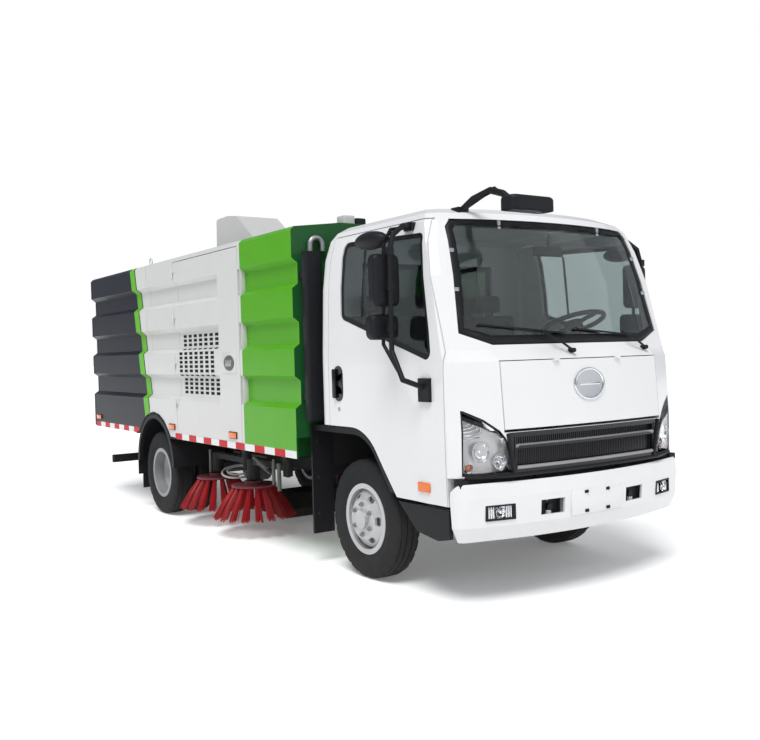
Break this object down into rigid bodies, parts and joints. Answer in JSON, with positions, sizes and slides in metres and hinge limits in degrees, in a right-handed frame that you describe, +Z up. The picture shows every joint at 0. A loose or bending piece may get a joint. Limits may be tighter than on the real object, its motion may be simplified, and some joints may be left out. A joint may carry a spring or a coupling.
{
  "type": "street sweeper truck",
  "caption": "Street sweeper truck with a tilting cab, ribbed box body, tipping hopper, suction nozzle and rotating side brushes.",
  "frame": {"origin": "on the ground, under the middle of the vehicle's length and width", "axes": "+X forward, +Y to the vehicle's left, +Z up"},
  "size_m": [6.48, 2.355, 2.628],
  "materials": {
    "chassis": "satin black",
    "engine": "bare",
    "tank": "dull",
    "rubber": "matt",
    "cab_paint": "gloss white",
    "lamp_clear": "clear lens",
    "lamp_red": "red lens",
    "body_green": "gloss bright green",
    "body_white": "gloss white",
    "body_grey": "gloss charcoal",
    "black_plastic": "grained",
    "seat_cloth": "woven",
    "glass": "clear tinted",
    "tyre": "matt",
    "rim": "silver",
    "gear_black": "satin",
    "bristle": "red bristle"
  },
  "bodies": {
    "chassis": {"chassis_frame": "chassis", "front_axle": "chassis", "rear_axle": "chassis", "leaf_springs": "chassis", "engine_block": "engine", "drive_shaft": "chassis", "fuel_tank": "tank", "front_bumper": "cab_paint", "fog_lamps": "lamp_clear", "rear_bumper": "chassis", "tail_lamps": "lamp_red", "mudguards": "rubber", "front_cabinet": "body_green", "tank_body": "body_white", "aux_engine": "engine", "air_intake": "black_plastic", "fill_pipe": "cab_paint", "roof_cowl": "cab_paint"},
    "cab": {"cab_shell": "cab_paint", "cab_glass": "glass", "grille": "black_plastic", "headlamps": "lamp_clear", "dashboard": "black_plastic", "steering_wheel": "black_plastic", "seats": "seat_cloth", "front_mirror": "black_plastic"},
    "front_lid": {"front_lid": "cab_paint"},
    "hopper": {"hopper": "body_grey"},
    "tailgate": {"tailgate": "body_grey"},
    "suction_nozzle": {"suction_nozzle": "gear_black"},
    "door_left": {"door_left": "cab_paint", "door_glass_left": "glass", "door_mirrors_left": "black_plastic"},
    "side_door_left": {"side_door_left": "body_white"},
    "knuckle_left": {"knuckle_left": "chassis"},
    "front_wheel_left": {"front_tyre_left": "tyre", "front_rim_left": "rim"},
    "rear_wheels_left": {"rear_tyres_left": "tyre", "rear_rims_left": "rim"},
    "brush_arm_front_left": {"brush_arm_front_left": "gear_black"},
    "brush_front_left": {"brush_front_left": "bristle"},
    "brush_arm_rear_left": {"brush_arm_rear_left": "gear_black"},
    "brush_rear_left": {"brush_rear_left": "bristle"},
    "door_right": {"door_right": "cab_paint", "door_glass_right": "glass", "door_mirrors_right": "black_plastic"},
    "side_door_right": {"side_door_right": "body_white"},
    "knuckle_right": {"knuckle_right": "chassis"},
    "front_wheel_right": {"front_tyre_right": "tyre", "front_rim_right": "rim"},
    "rear_wheels_right": {"rear_tyres_right": "tyre", "rear_rims_right": "rim"},
    "brush_arm_front_right": {"brush_arm_front_right": "gear_black"},
    "brush_front_right": {"brush_front_right": "bristle"},
    "brush_arm_rear_right": {"brush_arm_rear_right": "gear_black"},
    "brush_rear_right": {"brush_rear_right": "bristle"}
  },
  "joints": [
    {"name": "cab_tilt", "type": "hinge", "parent": "chassis", "child": "cab", "pos_m": [3.035, 0, 0.585], "axis": [0, 1, 0], "range_deg": [0, 45]},
    {"name": "front_lid_hinge", "type": "hinge", "parent": "cab", "child": "front_lid", "pos_m": [3.072, 0, 1.385], "axis": [0, -1, 0], "range_deg": [0, 60]},
    {"name": "hopper_tip", "type": "hinge", "parent": "chassis", "child": "hopper", "pos_m": [-3.11, 0, 0.7], "axis": [0, -1, 0], "range_deg": [0, 50]},
    {"name": "tailgate_hinge", "type": "hinge", "parent": "hopper", "child": "tailgate", "pos_m": [-3.146, 0, 2.41], "axis": [0, 1, 0], "range_deg": [0, 85]},
    {"name": "nozzle_drop", "type": "slide", "parent": "chassis", "child": "suction_nozzle", "axis": [0, 0, 1], "range_m": [-0.05, 0]},
    {"name": "door_left_hinge", "type": "hinge", "parent": "cab", "child": "door_left", "pos_m": [2.881, 0.945, 1.4], "axis": [0, 0, -1], "range_deg": [0, 70]},
    {"name": "side_door_left_hinge", "type": "hinge", "parent": "chassis", "child": "side_door_left", "pos_m": [-0.796, 1.05, 1.54], "axis": [0, 0, 1], "range_deg": [0, 90]},
    {"name": "steer_left", "type": "hinge", "parent": "chassis", "child": "knuckle_left", "pos_m": [1.95, 0.69, 0.3845], "axis": [0, 0, 1], "range_deg": [-35, 35]},
    {"name": "front_wheel_left_spin", "type": "hinge", "parent": "knuckle_left", "child": "front_wheel_left", "pos_m": [1.95, 0.8005, 0.3845], "axis": [0, 1, 0], "continuous": true},
    {"name": "rear_wheels_left_spin", "type": "hinge", "parent": "chassis", "child": "rear_wheels_left", "pos_m": [-1.35, 0.7935, 0.3845], "axis": [0, 1, 0], "continuous": true},
    {"name": "brush_arm_front_left_swing", "type": "hinge", "parent": "chassis", "child": "brush_arm_front_left", "pos_m": [0.702, 0.76, 0.59], "axis": [0, 0, -1], "range_deg": [0, 20]},
    {"name": "brush_front_left_spin", "type": "hinge", "parent": "brush_arm_front_left", "child": "brush_front_left", "pos_m": [0.112, 0.76, 0.436], "axis": [0, 0, 1], "continuous": true},
    {"name": "brush_arm_rear_left_swing", "type": "hinge", "parent": "chassis", "child": "brush_arm_rear_left", "pos_m": [-0.003, 0.76, 0.59], "axis": [0, 0, -1], "range_deg": [0, 20]},
    {"name": "brush_rear_left_spin", "type": "hinge", "parent": "brush_arm_rear_left", "child": "brush_rear_left", "pos_m": [-0.593, 0.76, 0.436], "axis": [0, 0, 1], "continuous": true},
    {"name": "door_right_hinge", "type": "hinge", "parent": "cab", "child": "door_right", "pos_m": [2.881, -0.945, 1.4], "axis": [0, 0, 1], "range_deg": [0, 70]},
    {"name": "side_door_right_hinge", "type": "hinge", "parent": "chassis", "child": "side_door_right", "pos_m": [-0.796, -1.05, 1.54], "axis": [0, 0, -1], "range_deg": [0, 90]},
    {"name": "steer_right", "type": "hinge", "parent": "chassis", "child": "knuckle_right", "pos_m": [1.95, -0.69, 0.3845], "axis": [0, 0, 1], "range_deg": [-35, 35]},
    {"name": "front_wheel_right_spin", "type": "hinge", "parent": "knuckle_right", "child": "front_wheel_right", "pos_m": [1.95, -0.8005, 0.3845], "axis": [0, 1, 0], "continuous": true},
    {"name": "rear_wheels_right_spin", "type": "hinge", "parent": "chassis", "child": "rear_wheels_right", "pos_m": [-1.35, -0.7935, 0.3845], "axis": [0, 1, 0], "continuous": true},
    {"name": "brush_arm_front_right_swing", "type": "hinge", "parent": "chassis", "child": "brush_arm_front_right", "pos_m": [0.702, -0.76, 0.59], "axis": [0, 0, 1], "range_deg": [0, 20]},
    {"name": "brush_front_right_spin", "type": "hinge", "parent": "brush_arm_front_right", "child": "brush_front_right", "pos_m": [0.112, -0.76, 0.436], "axis": [0, 0, 1], "continuous": true},
    {"name": "brush_arm_rear_right_swing", "type": "hinge", "parent": "chassis", "child": "brush_arm_rear_right", "pos_m": [-0.003, -0.76, 0.59], "axis": [0, 0, 1], "range_deg": [0, 20]},
    {"name": "brush_rear_right_spin", "type": "hinge", "parent": "brush_arm_rear_right", "child": "brush_rear_right", "pos_m": [-0.593, -0.76, 0.436], "axis": [0, 0, 1], "continuous": true}
  ],
  "couplings": [
    {"joint": "steer_right", "follows": "steer_left", "ratio": 1}
  ]
}
